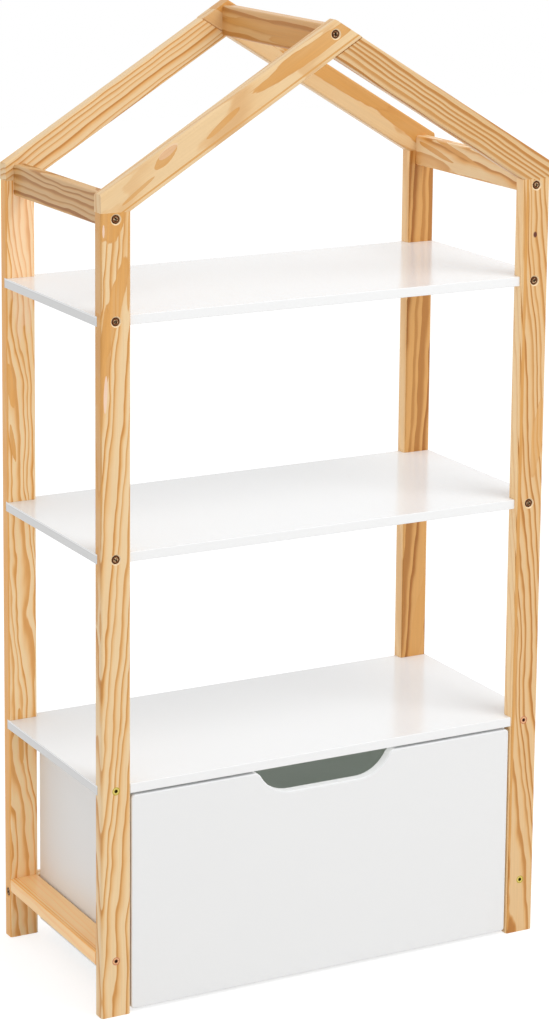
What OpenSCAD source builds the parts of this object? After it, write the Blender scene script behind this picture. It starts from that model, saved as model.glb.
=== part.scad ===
// House shaped bookcase for a child's room: a pine frame of four posts under a
// pitched roof, three white shelves let into the posts, and a roll-out drawer.
// The origin is on the floor under the middle; the front faces -Y and +Z is up.

/* [Overall] */
// Width across the posts
case_w = 620; // [520:5:900]
// Depth from the front faces to the back faces
case_d = 290; // [240:5:420]
// Height of the posts, where the roof starts
post_h = 990; // [940:5:1300]
// Pitch of the roof, in degrees
roof_pitch = 31.4; // [24:0.2:42]

/* [Frame timber] */
// Wide face of every frame bar
bar_w = 39; // [34:1:50]
// Thickness of every frame bar
bar_t = 18; // [16:1:24]
// Rounding of the bars' long edges
bar_r = 3; // [1:0.5:4]
// Underside of the bottom side rails above the floor
bottom_rail_z = 62; // [60:1:90]
// Height of the eaves rails above the tops of the posts
eaves_rail_rise = 20; // [16:1:22]
// Drop of the ridge beam's top below the roof line
ridge_drop = 1; // [0:0.5:3]
// Middle of the back cross rail above the floor
cross_rail_z = 59.5; // [55:0.5:80]

/* [Shelves] */
// Thickness of the shelves
shelf_t = 12; // [10:1:16]
// Top face of the lower shelf above the floor
lower_shelf_z = 293; // [260:1:330]
// Distance from shelf to shelf
shelf_pitch = 287; // [230:1:300]
// How far the upper shelves stand back from the posts' faces
shelf_recess = 4; // [3:0.5:8]
// How far the lower shelf stands back at the front
lower_shelf_recess = 1; // [0:0.5:4]
// Length of the tongues in the posts' grooves
tongue_l = 6.5; // [5:0.5:8]
// Rounding of the shelves' long edges
shelf_edge_r = 1; // [0.5:0.5:2]

/* [Drawer] */
// Thickness of the drawer's boards
board_t = 12; // [10:1:16]
// Gap between the drawer and the posts
drawer_gap = 2; // [1:0.5:4]
// Gap between the drawer front and the lower shelf
top_gap = 3.5; // [2:0.5:6]
// Height of the drawer front above the floor
floor_gap = 4; // [3:0.5:10]
// How far the drawer front stands back from the posts' faces
front_recess = 1.5; // [0:0.5:4]
// Rounding of the drawer front's corners
front_corner_r = 5; // [3:0.5:10]
// Rounding of the drawer front's outer edges
front_edge_r = 2; // [1:0.5:3]
// Lowest edge of the drawer's sides and back
side_z = 20; // [18:1:40]
// How far the sides end below the lower shelf
side_top_gap = 19; // [10:1:40]
// Top face of the drawer bottom
bottom_top_z = 42; // [40:1:60]

/* [Finger scoop] */
// Flat length of the scoop's lower edge
scoop_flat = 96; // [60:1:160]
// Steepest slope of the scoop's ends, in degrees
scoop_slope = 60; // [45:1:65]
// Radius at the scoop's lower corners
scoop_inner_r = 50; // [30:1:52]
// Radius where the scoop meets the top edge
scoop_outer_r = 11; // [6:0.5:12]

/* [Castors] */
// Diameter of the castor wheels
wheel_d = 25; // [22:1:26]
// Width of the castor wheels
wheel_w = 14; // [10:1:18]
// Diameter of the castor axles
axle_d = 5; // [4:0.5:6]
// Thickness of the castor sheet steel
sheet_t = 1.5; // [1:0.1:2]
// Length and width of the castor plates
plate_size = 42; // [38:1:50]
// Distance from the drawer's inner faces to the castors
castor_inset = 46; // [40:1:70]

/* [Fasteners] */
// Head diameter of the frame screws
screw_head_d = 10; // [9:0.5:11]
// Shank diameter of the frame screws
screw_d = 5; // [4:0.5:6]
// Length of the frame screws
screw_l = 50; // [40:1:60]
// Length of the back cross rail's screws
cross_screw_l = 70; // [60:1:90]
// Mouth of the reamed seat round the dark screws
seat_d = 13.6; // [12:0.2:16]
// Diameter of the dowels in the frame and drawer
dowel_d = 6; // [5:0.5:7]
// Distance of a rail's screw or dowel from the rail's edge
fixing_inset = 11; // [9:0.5:12]
// Clearance round every dowel, screw and tongue
fit = 0.1; // [0.05:0.05:0.2]

/* [Hidden] */

$fn = 48;
eps = 1;                    // overrun of every cutter past the face it opens
LEFT = -1;
RIGHT = 1;
FRONT = -1;
BACK = 1;

pine = [0.90, 0.74, 0.50];
birch = [0.86, 0.74, 0.56];
lacquer = [0.95, 0.95, 0.94];
bronze = [0.32, 0.24, 0.16];
brass = [0.80, 0.64, 0.26];
steel = [0.70, 0.71, 0.73];
rubber = [0.25, 0.25, 0.26];

// Corner post, with its outer corner as the reference
outer_x = case_w / 2;
outer_y = case_d / 2;
post_inner_x = outer_x - bar_w;
post_inner_y = outer_y - bar_t;
post_mid_x = outer_x - bar_w / 2;
post_mid_y = outer_y - bar_t / 2;

// Roof: each rafter's band runs up from the inner corner of its post
rise = tan(roof_pitch);
band_h = bar_w / cos(roof_pitch);
inner_apex_z = post_h + post_inner_x * rise;
apex_z = inner_apex_z + band_h;
eaves_z = apex_z - outer_x * rise;
joint_x = bar_w / (2 * sin(roof_pitch));
joint_z = inner_apex_z + joint_x * rise;
joint_l = joint_x / cos(roof_pitch);
ridge_top_z = apex_z - bar_t / 2 * rise - ridge_drop;
ridge_z = ridge_top_z - bar_w;

// Rails
rail_l = 2 * post_inner_y;
eaves_rail_z = post_h + eaves_rail_rise - bar_w;
bottom_rail_mid_z = bottom_rail_z + bar_t / 2;

// Shelves and their grooves
shelf_tops = [lower_shelf_z, lower_shelf_z + shelf_pitch, lower_shelf_z + 2 * shelf_pitch];
groove_end_gap = 0.5;
groove_d = tongue_l + groove_end_gap;
groove_h = shelf_t + 2 * fit;
tongue_y = post_inner_y + tongue_l;

// Drawer
drawer_x = post_inner_x - drawer_gap;
box_inner_x = drawer_x - board_t;
front_z = floor_gap;
front_h = lower_shelf_z - shelf_t - top_gap - front_z;
front_back_y = -outer_y + front_recess + board_t;
box_back_y = post_inner_y - drawer_gap;
back_inner_y = box_back_y - board_t;
side_l = box_back_y - front_back_y;
side_top_z = lower_shelf_z - shelf_t - side_top_gap;
side_h = side_top_z - side_z;
bottom_mid_z = bottom_top_z - board_t / 2;
joint_rows = [0.2, 0.5, 0.8];      // shares of a joint's length
bottom_dowels = [-0.6, 0, 0.6];    // shares of the drawer's half width

// Drawer front, in its own plane
front_corner_x = drawer_x - front_corner_r;
cutter_w = 8;               // width of the strip that the edge cutter clears
scoop_half = scoop_flat / 2;
scoop_curve_r = scoop_inner_r + scoop_outer_r;
scoop_z = front_h - scoop_curve_r * (1 - cos(scoop_slope));
scoop_lip_x = scoop_half + scoop_curve_r * sin(scoop_slope);
scoop_core_gap = 1.5;       // how far inside its edge the scoop's core ends
lip_run_x = ceil(scoop_lip_x) + scoop_outer_r;

// Castors
castor_top_z = bottom_top_z - board_t;
castor_x = box_inner_x - castor_inset;
castor_front_y = front_back_y + castor_inset;
castor_back_y = back_inner_y - castor_inset;
wheel_r = wheel_d / 2;
wheel_side_gap = 0.5;
running_gap = 0.08;         // radial play of a wheel on its axle
tread_r = 2;
hub_r = 5;
wheel_dish = 1.5;
fork_inner_w = wheel_w + 2 * wheel_side_gap;
cheek_lift = 4;             // the cheeks end this far above the wheel's rim
cheek_r = wheel_r - cheek_lift;
cheek_flare = 4;            // how much wider a cheek gets towards the plate
axle_head_lap = 1.5;
axle_head_d = axle_d + 2 * axle_head_lap;
axle_head_t = 1;
castor_places = [
    [-castor_x, castor_front_y], [castor_x, castor_front_y],
    [-castor_x, castor_back_y], [castor_x, castor_back_y]
];

// Fasteners
dowel_l = 30;
short_dowel_l = 28;
dowel_bevel = 0.8;
blind_l = 10;               // how deep a rail's dowel goes into a post or rafter
board_blind_l = 8;          // how deep a dowel goes into the face of a drawer board
socket_across = 4.6;        // hexagonal socket, corner to corner
socket_deep = 2;
dark_sink = 1;              // a dark screw's head lies this deep in its seat
brass_sink = 0.2;
head_rim = 1.2;
head_cone = 2.5;
tip_l = 4;
tip_d = 1;
small_d = 3.5;              // drawer and castor screws
small_head_d = 7;
small_l = 30;
castor_screw_l = 11;
screw_flange_t = 1.6;
post_dowel_inset = bar_w / 4;
apex_dowel_mid = joint_l / 2 + 1;
apex_dowel_pitch = 12;
plate_corner_r = 5;
plate_hole_inset = 6;
plate_hole_pitch = plate_size - 2 * plate_hole_inset;

// ---------------------------------------------------------------- placing

// Draws its children, made for the front left corner, at any corner
module at_corner(side, end) {
    mirror([side == RIGHT ? 1 : 0, 0, 0])
        mirror([0, end == BACK ? 1 : 0, 0])
            children();
}

// Turns its children from +Z to +Y, from the front face inwards
module from_front(x, z) {
    translate([x, -outer_y, z])
        rotate([-90, 0, 0])
            children();
}

// The front frame's rafters, turned half round, are the back frame's
module turned(end) {
    rotate([0, 0, end == BACK ? 180 : 0])
        children();
}

// ---------------------------------------------------------------- stock

module rounded_section(w, t, r) {
    square([w - 2 * r, t], center = true);
    square([w, t - 2 * r], center = true);
    for (x = [-1, 1], y = [-1, 1])
        translate([x * (w / 2 - r), y * (t / 2 - r)])
            circle(r);
}

// Planed bar with rounded long edges, standing on its end
module bar(w, t, l) {
    linear_extrude(l)
        rounded_section(w, t, bar_r);
}

// ---------------------------------------------------------------- fasteners

// All fasteners and their holes stand on the surface they enter and point to +Z,
// which runs into the wood
module dowel(l, d = dowel_d) {
    translate([0, 0, dowel_bevel])
        cylinder(d = d, h = l - 2 * dowel_bevel);
    cylinder(d1 = d - 2 * dowel_bevel, d2 = d, h = dowel_bevel);
    translate([0, 0, l - dowel_bevel])
        cylinder(d1 = d, d2 = d - 2 * dowel_bevel, h = dowel_bevel);
}

module dowel_hole(l) {
    translate([0, 0, -l - fit])
        cylinder(d = dowel_d + 2 * fit, h = 2 * (l + fit));
}

module screw_shape(l, sink, d, head_d, slack) {
    translate([0, 0, sink])
        cylinder(d = head_d + 2 * slack, h = head_rim);
    translate([0, 0, sink + head_rim])
        cylinder(d1 = head_d + 2 * slack, d2 = d + 2 * slack, h = head_cone);
    translate([0, 0, sink + head_rim + head_cone])
        cylinder(d = d + 2 * slack, h = l - head_rim - head_cone - tip_l + slack);
    translate([0, 0, sink + l - tip_l + slack])
        cylinder(d1 = d + 2 * slack, d2 = tip_d, h = tip_l);
}

module frame_screw(l, sink) {
    difference() {
        screw_shape(l, sink, screw_d, screw_head_d, 0);
        translate([0, 0, sink - eps])
            cylinder(d = socket_across, h = socket_deep + eps, $fn = 6);
    }
}

// Hole of a frame screw; the mouth is the reamed seat, and 0 leaves it plain
module frame_screw_hole(l, sink, mouth_d) {
    screw_shape(l, sink, screw_d, screw_head_d, fit);
    translate([0, 0, -eps])
        cylinder(d = screw_head_d + 2 * fit, h = sink + 2 * eps);
    if (mouth_d > 0)
        translate([0, 0, -eps])
            cylinder(d1 = mouth_d + 2 * eps, d2 = screw_head_d + 2 * fit,
                     h = eps + (mouth_d - screw_head_d - 2 * fit) / 2);
}

// ---------------------------------------------------------------- corner joints

dark_heights = [eaves_rail_z + fixing_inset, shelf_tops[2] - shelf_t / 2, shelf_tops[1] - shelf_t / 2];
brass_heights = [shelf_tops[0] - shelf_t / 2, bottom_rail_mid_z];

module corner_screw_holes() {
    for (z = dark_heights)
        from_front(-post_mid_x, z)
            frame_screw_hole(screw_l, dark_sink, seat_d);
    for (z = brass_heights)
        from_front(-post_mid_x, z)
            frame_screw_hole(screw_l, brass_sink, 0);
}

// Dowels from a rail's end into a post or rafter, seen from the rail's end face
module rail_dowel_places() {
    for (p = [[-post_mid_x, eaves_rail_z + bar_w - fixing_inset],
              [-post_mid_x + fixing_inset, bottom_rail_mid_z]])
        translate([p[0], -post_inner_y, p[1]])
            rotate([-90, 0, 0])
                children();
}

// The two dowels that stand in the top of a post
module post_dowel_places() {
    for (x = [-1, 1])
        translate([-post_mid_x + x * post_dowel_inset, -post_mid_y, post_h])
            children();
}

// Screw and dowel between a back post and the cross rail, for the front left corner
module cross_screw_place() {
    translate([-outer_x, -post_mid_y, cross_rail_z])
        rotate([0, 90, 0])
            children();
}

module cross_dowel_place() {
    translate([-post_inner_x, -post_mid_y, cross_rail_z - fixing_inset])
        rotate([0, 90, 0])
            children();
}

// The two dowels across the joint at the top of the front frame
module apex_dowel_places() {
    for (s = [apex_dowel_mid - apex_dowel_pitch / 2, apex_dowel_mid + apex_dowel_pitch / 2])
        translate([s * cos(roof_pitch), -post_mid_y, inner_apex_z + s * sin(roof_pitch)])
            rotate([0, 180 - roof_pitch, 0])
                children();
}

module ridge_screw_place() {
    from_front(0, ridge_top_z - fixing_inset)
        children();
}

module ridge_dowel_place() {
    translate([0, -post_inner_y, ridge_z + fixing_inset])
        rotate([-90, 0, 0])
            children();
}

// ---------------------------------------------------------------- posts

module post(side, end) {
    color(pine)
        at_corner(side, end)
            difference() {
                translate([-post_mid_x, -post_mid_y, 0])
                    bar(bar_w, bar_t, post_h);
                for (z = shelf_tops)
                    translate([-outer_x - eps, -post_inner_y - groove_d, z - shelf_t - fit])
                        cube([bar_w + 2 * eps, groove_d + eps, groove_h]);
                corner_screw_holes();
                post_dowel_places()
                    dowel_hole(dowel_l / 2);
                rail_dowel_places()
                    dowel_hole(blind_l);
                if (end == BACK) {
                    cross_screw_place()
                        frame_screw_hole(cross_screw_l, dark_sink, seat_d);
                    cross_dowel_place()
                        dowel_hole(blind_l);
                }
            }
}

module front_left_post() { post(LEFT, FRONT); }
module front_right_post() { post(RIGHT, FRONT); }
module back_left_post() { post(LEFT, BACK); }
module back_right_post() { post(RIGHT, BACK); }

// ---------------------------------------------------------------- roof

// Bar with rounded edges along the slope of the front frame's left rafter
module sloping_bar() {
    slope_l = 2 * case_w;
    translate([-post_inner_x, -post_mid_y, post_h])
        rotate([0, -roof_pitch, 0])
            translate([-slope_l / 2, 0, bar_w / 2])
                rotate([0, 90, 0])
                    bar(bar_w, bar_t, slope_l);
}

module rafter_outline(points) {
    translate([0, -post_inner_y + eps, 0])
        rotate([90, 0, 0])
            linear_extrude(bar_t + 2 * eps)
                polygon(points);
}

module rafter_holes() {
    post_dowel_places()
        dowel_hole(dowel_l / 2);
    rail_dowel_places()
        dowel_hole(blind_l);
    ridge_screw_place()
        frame_screw_hole(screw_l, dark_sink, seat_d);
    ridge_dowel_place()
        dowel_hole(blind_l);
    apex_dowel_places()
        dowel_hole(dowel_l / 2);
}

// Runs through the apex, with its end cut along the other slope
module through_rafter(end) {
    color(pine)
        turned(end)
            difference() {
                intersection() {
                    sloping_bar();
                    rafter_outline([
                        [-outer_x, post_h], [-post_inner_x, post_h], [joint_x, joint_z],
                        [0, apex_z], [-outer_x, eaves_z]
                    ]);
                }
                rafter_holes();
            }
}

// Butts against the underside of the through rafter
module butt_rafter(end) {
    color(pine)
        turned(end)
            difference() {
                intersection() {
                    mirror([1, 0, 0])
                        sloping_bar();
                    rafter_outline([
                        [post_inner_x, post_h], [outer_x, post_h], [outer_x, eaves_z],
                        [joint_x, joint_z], [0, inner_apex_z]
                    ]);
                }
                apex_dowel_places()
                    dowel_hole(dowel_l / 2);
                mirror([1, 0, 0]) {
                    post_dowel_places()
                        dowel_hole(dowel_l / 2);
                    rail_dowel_places()
                        dowel_hole(blind_l);
                }
            }
}

module front_left_rafter() { through_rafter(FRONT); }
module front_right_rafter() { butt_rafter(FRONT); }
module back_left_rafter() { butt_rafter(BACK); }
module back_right_rafter() { through_rafter(BACK); }

module ridge_beam() {
    color(pine)
        difference() {
            translate([0, post_inner_y, ridge_z + bar_w / 2])
                rotate([90, 0, 0])
                    bar(bar_t, bar_w, rail_l);
            for (end = [FRONT, BACK])
                turned(end) {
                    ridge_screw_place()
                        frame_screw_hole(screw_l, dark_sink, seat_d);
                    ridge_dowel_place()
                        dowel_hole(dowel_l - blind_l);
                }
        }
}

// ---------------------------------------------------------------- rails

module side_rail(side, w, h, mid_z) {
    color(pine)
        difference() {
            translate([side * post_mid_x, post_inner_y, mid_z])
                rotate([90, 0, 0])
                    bar(w, h, rail_l);
            for (end = [FRONT, BACK])
                at_corner(side, end) {
                    corner_screw_holes();
                    rail_dowel_places()
                        dowel_hole(dowel_l - blind_l);
                }
        }
}

module eaves_rail(side) { side_rail(side, bar_t, bar_w, eaves_rail_z + bar_w / 2); }
module bottom_rail(side) { side_rail(side, bar_w, bar_t, bottom_rail_mid_z); }

module left_eaves_rail() { eaves_rail(LEFT); }
module right_eaves_rail() { eaves_rail(RIGHT); }
module left_bottom_rail() { bottom_rail(LEFT); }
module right_bottom_rail() { bottom_rail(RIGHT); }

module back_cross_rail() {
    color(pine)
        difference() {
            translate([-post_inner_x, post_mid_y, cross_rail_z])
                rotate([0, 90, 0])
                    bar(bar_w, bar_t, 2 * post_inner_x);
            for (side = [LEFT, RIGHT])
                at_corner(side, BACK) {
                    cross_screw_place()
                        frame_screw_hole(cross_screw_l, dark_sink, seat_d);
                    cross_dowel_place()
                        dowel_hole(dowel_l - blind_l);
                }
        }
}

// ---------------------------------------------------------------- shelves

// Board notched round the four posts, with a tongue at each corner that seats in
// the post's groove and takes the post's screw
module shelf(level, recess) {
    top_z = shelf_tops[level];
    front_y = -outer_y + recess;
    back_y = outer_y - shelf_recess;
    color(lacquer)
        difference() {
            translate([-outer_x, (front_y + back_y) / 2, top_z - shelf_t / 2])
                rotate([90, 0, 90])
                    linear_extrude(case_w)
                        rounded_section(back_y - front_y, shelf_t, shelf_edge_r);
            for (side = [LEFT, RIGHT], end = [FRONT, BACK])
                at_corner(side, end) {
                    translate([-outer_x - eps, -outer_y - eps, top_z - shelf_t - eps])
                        cube([bar_w + eps, outer_y - tongue_y + eps, shelf_t + 2 * eps]);
                    from_front(-post_mid_x, top_z - shelf_t / 2)
                        frame_screw_hole(screw_l, level == 0 ? brass_sink : dark_sink, 0);
                }
        }
}

module top_shelf() { shelf(2, shelf_recess); }
module middle_shelf() { shelf(1, shelf_recess); }
module lower_shelf() { shelf(0, lower_shelf_recess); }

// ---------------------------------------------------------------- drawer front

// It is made lying face up, x to the right and y up from its lower edge, by running one
// profiled cutter round a blank. The profile has the finished edge at x = 0 with the
// board at -x, and the board's outer face at y = 0.
module edge_cutter() {
    translate([0, -board_t - eps])
        square([cutter_w, board_t + 2 * eps]);
    translate([-front_edge_r, -front_edge_r])
        difference() {
            square([front_edge_r, front_edge_r + eps]);
            circle(front_edge_r);
        }
}

// Straight run along +x, with the board at -y
module straight_run(l) {
    rotate([90, 0, 90])
        linear_extrude(l)
            edge_cutter();
}

// Run round an outer corner of the board, about the corner's centre
module corner_run(r, sweep) {
    rotate_extrude(angle = sweep)
        translate([r, 0])
            edge_cutter();
}

// Run round an inner corner
module hollow_run(r, sweep) {
    rotate_extrude(angle = sweep)
        translate([r, 0])
            mirror([1, 0])
                edge_cutter();
}

// Puts its children at p, round figures first, so that neighbouring runs meet exactly
module put(p) {
    near = [for (v = p) round(v * 100) / 100];
    translate(near)
        translate(p - near)
            children();
}

// Right half of the front's edge, from the middle of the scoop to the middle below
module half_edge() {
    put([-eps, scoop_z])
        straight_run(scoop_half + eps);
    put([scoop_half, scoop_z + scoop_inner_r])
        rotate(-90)
            hollow_run(scoop_inner_r, scoop_slope);
    put([scoop_lip_x, front_h - scoop_outer_r])
        rotate(90)
            corner_run(scoop_outer_r, scoop_slope);
    put([scoop_lip_x, front_h])
        straight_run(lip_run_x - scoop_lip_x + eps);
    translate([lip_run_x, front_h])
        straight_run(front_corner_x - lip_run_x);
    translate([front_corner_x, front_h - front_corner_r])
        corner_run(front_corner_r, 90);
    translate([drawer_x, front_h - front_corner_r])
        rotate(-90)
            straight_run(front_h - 2 * front_corner_r);
    translate([front_corner_x, front_corner_r])
        rotate(-90)
            corner_run(front_corner_r, 90);
    translate([front_corner_x, 0])
        rotate(180)
            straight_run(front_corner_x + eps);
}

// What the runs leave standing in the right half of the scoop
module scoop_core() {
    top = front_h + 2 * eps;
    core_r = scoop_inner_r - scoop_core_gap;
    bend = [for (a = [0, scoop_slope / 2, scoop_slope])
        [scoop_half + core_r * sin(a), scoop_z + scoop_inner_r - core_r * cos(a)]];
    polygon([[-eps, bend[0][1]], bend[0], bend[1], bend[2],
             [bend[2][0] + (top - bend[2][1]) / tan(scoop_slope), top], [-eps, top]]);
}

module drawer_front() {
    color(lacquer)
        difference() {
            translate([0, front_back_y - board_t, front_z])
                rotate([90, 0, 0])
                    difference() {
                        translate([-drawer_x - eps, -eps, -board_t])
                            cube([2 * (drawer_x + eps), front_h + 2 * eps, board_t]);
                        for (side = [0, 1])
                            mirror([side, 0, 0]) {
                                half_edge();
                                translate([0, 0, -board_t - eps])
                                    linear_extrude(board_t + 2 * eps)
                                        scoop_core();
                            }
                    }
            drawer_dowel_holes();
        }
}

// ---------------------------------------------------------------- drawer box

// Places of the dowels: the front's into the sides, the front's into the bottom,
// and the sides' into the back, each from the face of the board they enter
module front_dowel_places() {
    for (side = [LEFT, RIGHT], row = joint_rows)
        translate([side * (drawer_x - board_t / 2), front_back_y, side_z + row * side_h])
            rotate([-90, 0, 0])
                children();
    for (place = bottom_dowels)
        translate([place * box_inner_x, front_back_y, bottom_mid_z])
            rotate([-90, 0, 0])
                children();
}

module back_dowel_places() {
    for (side = [LEFT, RIGHT], row = joint_rows)
        translate([side * box_inner_x, box_back_y - board_t / 2, side_z + row * side_h])
            rotate([0, -90 * side, 0])
                children();
}

module drawer_dowel_holes() {
    front_dowel_places() {
        dowel_hole(board_blind_l);
        cylinder(d = dowel_d + 2 * fit, h = short_dowel_l - board_blind_l + fit);
    }
    back_dowel_places() {
        dowel_hole(board_blind_l);
        cylinder(d = dowel_d + 2 * fit, h = short_dowel_l - board_blind_l + fit);
    }
}

module drawer_screw_places() {
    for (side = [LEFT, RIGHT], place = joint_rows)
        translate([side * drawer_x, front_back_y + place * side_l, bottom_mid_z])
            rotate([0, -90 * side, 0])
                children();
}

module drawer_screw_holes() {
    drawer_screw_places() {
        screw_shape(small_l, brass_sink, small_d, small_head_d, fit);
        translate([0, 0, -eps])
            cylinder(d = small_head_d + 2 * fit, h = brass_sink + 2 * eps);
    }
}

module drawer_side(side) {
    color(lacquer)
        difference() {
            translate([side * (drawer_x - board_t / 2) - board_t / 2, front_back_y, side_z])
                cube([board_t, side_l, side_h]);
            drawer_dowel_holes();
            drawer_screw_holes();
        }
}

module drawer_left_side() { drawer_side(LEFT); }
module drawer_right_side() { drawer_side(RIGHT); }

module drawer_back() {
    color(lacquer)
        difference() {
            translate([-box_inner_x, back_inner_y, side_z])
                cube([2 * box_inner_x, board_t, side_h]);
            drawer_dowel_holes();
        }
}

module drawer_bottom() {
    color(lacquer)
        difference() {
            translate([-box_inner_x, front_back_y, castor_top_z])
                cube([2 * box_inner_x, back_inner_y - front_back_y, board_t]);
            drawer_dowel_holes();
            drawer_screw_holes();
            at_castors()
                castor_screw_places()
                    translate([0, 0, -eps])
                        cylinder(d = small_d + 2 * fit, h = castor_screw_l + eps);
        }
}

// ---------------------------------------------------------------- castors

// Draws its children, made with the castor's plate at the origin, at every castor
module at_castors() {
    for (p = castor_places)
        translate([p[0], p[1], castor_top_z])
            children();
}

module castor_screw_places() {
    for (x = [-1, 1], y = [-1, 1])
        translate([x * plate_hole_pitch / 2, y * plate_hole_pitch / 2, 0])
            children();
}

// Folded sheet: a plate with rounded corners and two cheeks round the axle
module castor_bracket() {
    axle_z = wheel_r - castor_top_z;
    difference() {
        union() {
            translate([0, 0, -sheet_t])
                linear_extrude(sheet_t)
                    rounded_section(plate_size, plate_size, plate_corner_r);
            for (side = [-1, 1])
                translate([side * (fork_inner_w + sheet_t) / 2 - sheet_t / 2, 0, 0])
                    rotate([90, 0, 90])
                        linear_extrude(sheet_t)
                            cheek_outline(axle_z);
        }
        castor_screw_places()
            translate([0, 0, -sheet_t - eps])
                cylinder(d = small_d + 2 * fit, h = sheet_t + 2 * eps);
        translate([-plate_size / 2, 0, axle_z])
            rotate([0, 90, 0])
                cylinder(d = axle_d + 2 * fit, h = plate_size);
    }
}

// Side view of a cheek, with its lower end round about the axle
module cheek_outline(axle_z) {
    shoulder = cheek_r + cheek_flare;
    polygon([[-shoulder, -sheet_t], [-cheek_r, axle_z], [cheek_r, axle_z], [shoulder, -sheet_t]]);
    translate([0, axle_z])
        circle(cheek_r);
}

module castor_brackets() {
    color(steel)
        at_castors()
            castor_bracket();
}

// Riveted axle with a head outside each cheek
module castor_axles() {
    axle_l = fork_inner_w + 2 * sheet_t;
    color(steel)
        at_castors()
            translate([0, 0, wheel_r - castor_top_z])
                rotate([0, 90, 0]) {
                    cylinder(d = axle_d, h = axle_l, center = true);
                    for (side = [-1, 1])
                        translate([0, 0, side * (axle_l + axle_head_t) / 2])
                            cylinder(d = axle_head_d, h = axle_head_t, center = true);
                }
}

// Wheel turned in one piece, with a rounded tread and a hub that stands proud
module castor_wheel(i) {
    bore_r = axle_d / 2 + running_gap;
    web_r = wheel_r - 2 * tread_r;
    p = castor_places[i];
    color(rubber)
        translate([p[0], p[1], wheel_r])
            rotate([0, 90, 0])
                rotate_extrude() {
                    translate([bore_r, -wheel_w / 2])
                        square([hub_r - bore_r, wheel_w]);
                    translate([bore_r, -wheel_w / 2 + wheel_dish])
                        square([web_r + tread_r - bore_r, wheel_w - 2 * wheel_dish]);
                    translate([web_r, -wheel_w / 2 + tread_r])
                        square([2 * tread_r, wheel_w - 2 * tread_r]);
                    for (side = [-1, 1])
                        translate([web_r + tread_r, side * (wheel_w / 2 - tread_r)])
                            circle(tread_r);
                }
}

module front_left_wheel() { castor_wheel(0); }
module front_right_wheel() { castor_wheel(1); }
module back_left_wheel() { castor_wheel(2); }
module back_right_wheel() { castor_wheel(3); }

// ---------------------------------------------------------------- fastener groups

module roof_dowels() {
    color(birch)
        for (end = [FRONT, BACK]) {
            for (side = [LEFT, RIGHT])
                at_corner(side, end)
                    post_dowel_places()
                        translate([0, 0, -dowel_l / 2])
                            dowel(dowel_l);
            turned(end)
                apex_dowel_places()
                    translate([0, 0, -dowel_l / 2])
                        dowel(dowel_l);
        }
}

module rail_dowels() {
    color(birch)
        for (end = [FRONT, BACK]) {
            for (side = [LEFT, RIGHT])
                at_corner(side, end) {
                    rail_dowel_places()
                        translate([0, 0, -blind_l])
                            dowel(dowel_l);
                    if (end == BACK)
                        cross_dowel_place()
                            translate([0, 0, -blind_l])
                                dowel(dowel_l);
                }
            turned(end)
                ridge_dowel_place()
                    translate([0, 0, -blind_l])
                        dowel(dowel_l);
        }
}

module drawer_dowels() {
    color(birch) {
        front_dowel_places()
            translate([0, 0, -board_blind_l])
                dowel(short_dowel_l);
        back_dowel_places()
            translate([0, 0, -board_blind_l])
                dowel(short_dowel_l);
    }
}

module dark_frame_screws() {
    color(bronze)
        for (end = [FRONT, BACK]) {
            for (side = [LEFT, RIGHT], z = dark_heights)
                at_corner(side, end)
                    from_front(-post_mid_x, z)
                        frame_screw(screw_l, dark_sink);
            turned(end)
                ridge_screw_place()
                    frame_screw(screw_l, dark_sink);
        }
}

module brass_frame_screws() {
    color(brass)
        for (side = [LEFT, RIGHT], end = [FRONT, BACK], z = brass_heights)
            at_corner(side, end)
                from_front(-post_mid_x, z)
                    frame_screw(screw_l, brass_sink);
}

module cross_rail_screws() {
    color(bronze)
        for (side = [LEFT, RIGHT])
            at_corner(side, BACK)
                cross_screw_place()
                    frame_screw(cross_screw_l, dark_sink);
}

module drawer_screws() {
    color(steel)
        drawer_screw_places()
            screw_shape(small_l, brass_sink, small_d, small_head_d, 0);
}

module castor_screws() {
    color(steel)
        at_castors()
            castor_screw_places() {
                translate([0, 0, -sheet_t - screw_flange_t])
                    cylinder(d = small_head_d, h = screw_flange_t);
                translate([0, 0, -sheet_t])
                    cylinder(d = small_d, h = sheet_t + castor_screw_l - fit);
            }
}

front_left_post();
front_right_post();
back_left_post();
back_right_post();
front_left_rafter();
front_right_rafter();
back_left_rafter();
back_right_rafter();
ridge_beam();
left_eaves_rail();
right_eaves_rail();
left_bottom_rail();
right_bottom_rail();
back_cross_rail();
top_shelf();
middle_shelf();
lower_shelf();
drawer_front();
drawer_left_side();
drawer_right_side();
drawer_back();
drawer_bottom();
castor_brackets();
castor_axles();
front_left_wheel();
front_right_wheel();
back_left_wheel();
back_right_wheel();
roof_dowels();
rail_dowels();
drawer_dowels();
dark_frame_screws();
brass_frame_screws();
cross_rail_screws();
drawer_screws();
castor_screws();
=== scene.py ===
"""House shaped bookcase: pine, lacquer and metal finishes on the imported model, with its stage."""

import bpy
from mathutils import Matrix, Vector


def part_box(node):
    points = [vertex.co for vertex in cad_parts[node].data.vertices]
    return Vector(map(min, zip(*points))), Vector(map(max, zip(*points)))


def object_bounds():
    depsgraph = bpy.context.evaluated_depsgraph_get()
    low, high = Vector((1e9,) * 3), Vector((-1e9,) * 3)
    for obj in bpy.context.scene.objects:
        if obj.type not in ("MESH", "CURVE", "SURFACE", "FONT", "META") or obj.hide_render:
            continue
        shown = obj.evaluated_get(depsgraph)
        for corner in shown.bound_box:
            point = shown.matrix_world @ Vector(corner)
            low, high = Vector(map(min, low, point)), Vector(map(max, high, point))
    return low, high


bl_info = {
    "name": "House Shaped Bookcase",
    "version": (1, 0, 0),
    "blender": (4, 5, 0),
    "location": "View3D > Sidebar > Bookcase",
    "description": "Finishes a house shaped bookcase in clear pine and white lacquer",
    "category": "Object",
}

import math

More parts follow.
